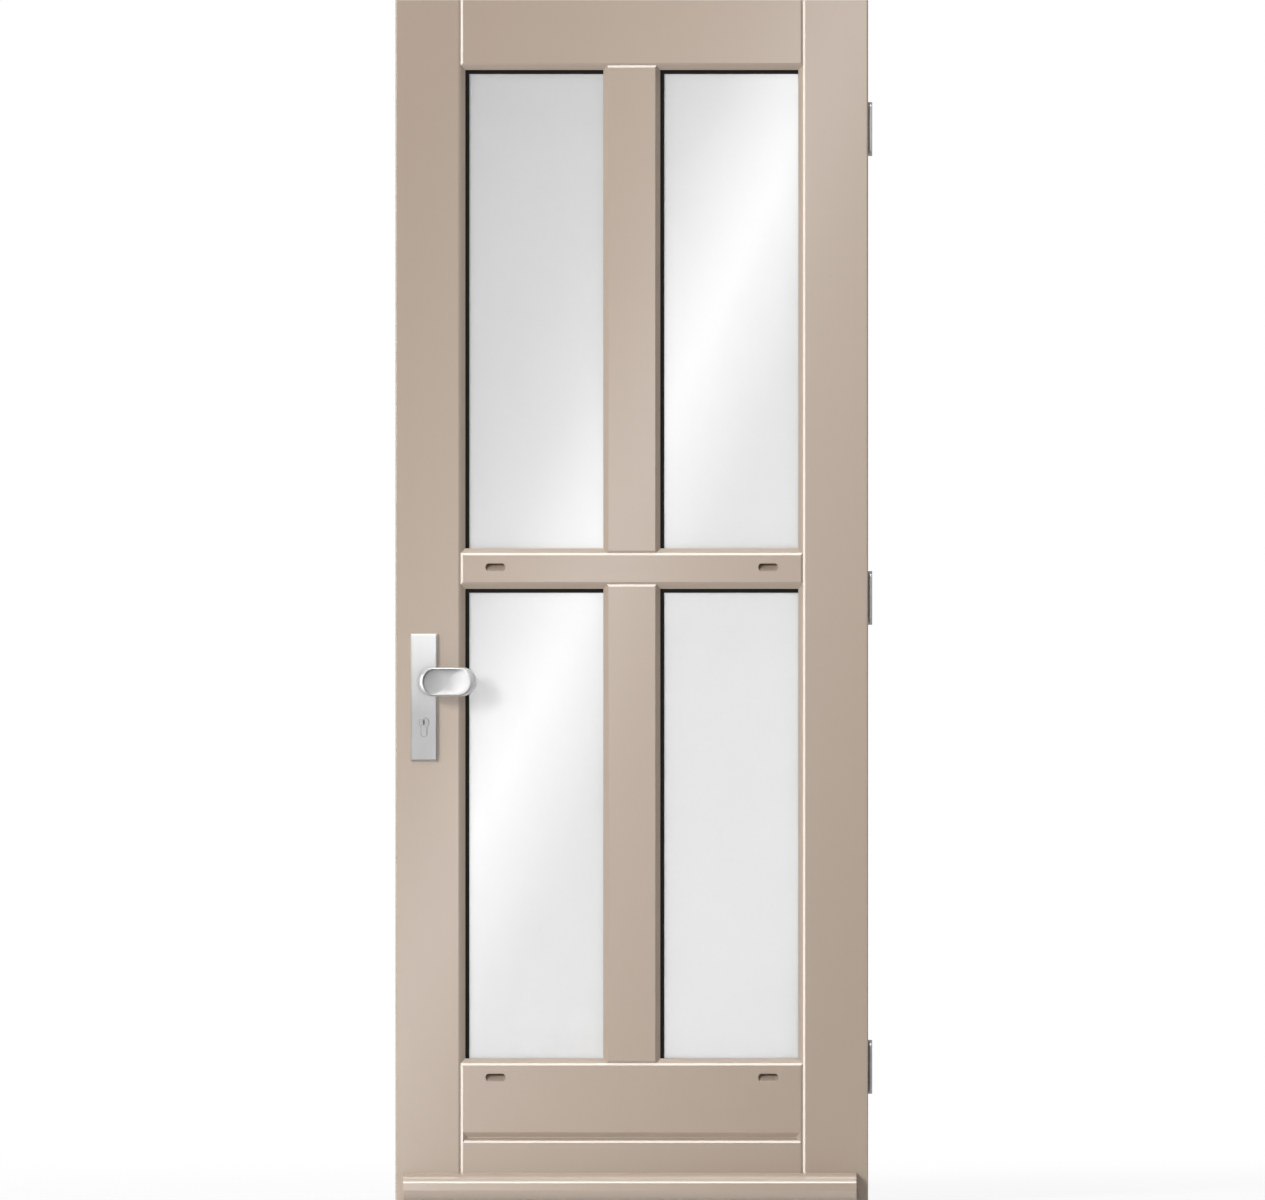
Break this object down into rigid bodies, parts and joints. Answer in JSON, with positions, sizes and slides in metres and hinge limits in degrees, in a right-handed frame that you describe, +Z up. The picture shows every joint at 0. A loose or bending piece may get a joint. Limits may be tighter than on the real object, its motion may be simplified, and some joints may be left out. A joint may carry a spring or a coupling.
{
  "type": "glazed front door",
  "caption": "Painted hardwood front door leaf with tall glass panes, bevelled mouldings, weatherboard, lock plate and fixed oval knob, hung on butt hinges.",
  "frame": {"origin": "on the back of the lower hinge's frame leaf, at the middle of its plate", "axes": "+X to the right as seen from outside, out of the hinge side; +Y into the building; +Z up"},
  "size_m": [0.838, 0.1775, 2.115],
  "materials": {
    "paint": "satin",
    "glass": "gloss",
    "spacer": "satin",
    "seal": "matte",
    "furniture": "satin",
    "cylinder": "satin",
    "lock_steel": "satin",
    "hinge_steel": "satin"
  },
  "bodies": {
    "hinge_frame_side": {"hinge_frame_leaves": "hinge_steel", "hinge_pins": "hinge_steel"},
    "door_leaf": {"lock_stile": "paint", "hinge_stile": "paint", "top_rail": "paint", "middle_rail": "paint", "bottom_rail": "paint", "upper_muntin": "paint", "lower_muntin": "paint", "weatherboard": "paint", "upper_left_beads": "paint", "upper_left_glass": "glass", "upper_left_spacer": "spacer", "upper_left_seals": "seal", "upper_right_beads": "paint", "upper_right_glass": "glass", "upper_right_spacer": "spacer", "upper_right_seals": "seal", "lower_left_beads": "paint", "lower_left_glass": "glass", "lower_left_spacer": "spacer", "lower_left_seals": "seal", "lower_right_beads": "paint", "lower_right_glass": "glass", "lower_right_spacer": "spacer", "lower_right_seals": "seal", "outside_plate": "furniture", "inside_plate": "furniture", "outside_knob": "furniture", "inside_lever": "furniture", "lock_cylinder": "cylinder", "lock_forend": "lock_steel", "lock_bolts": "lock_steel", "hinge_door_leaves": "hinge_steel"},
    "key_plug": {"cylinder_plug": "cylinder"}
  },
  "joints": [
    {"name": "leaf_swing", "type": "hinge", "parent": "hinge_frame_side", "child": "door_leaf", "pos_m": [-0.0045, 0.026, 0.825], "axis": [0, 0, -1], "range_deg": [0, 110]},
    {"name": "plug_turn", "type": "hinge", "parent": "door_leaf", "child": "key_plug", "pos_m": [-0.786, -0.044, 0.606], "axis": [0, 1, 0], "range_deg": [0, 360]}
  ]
}
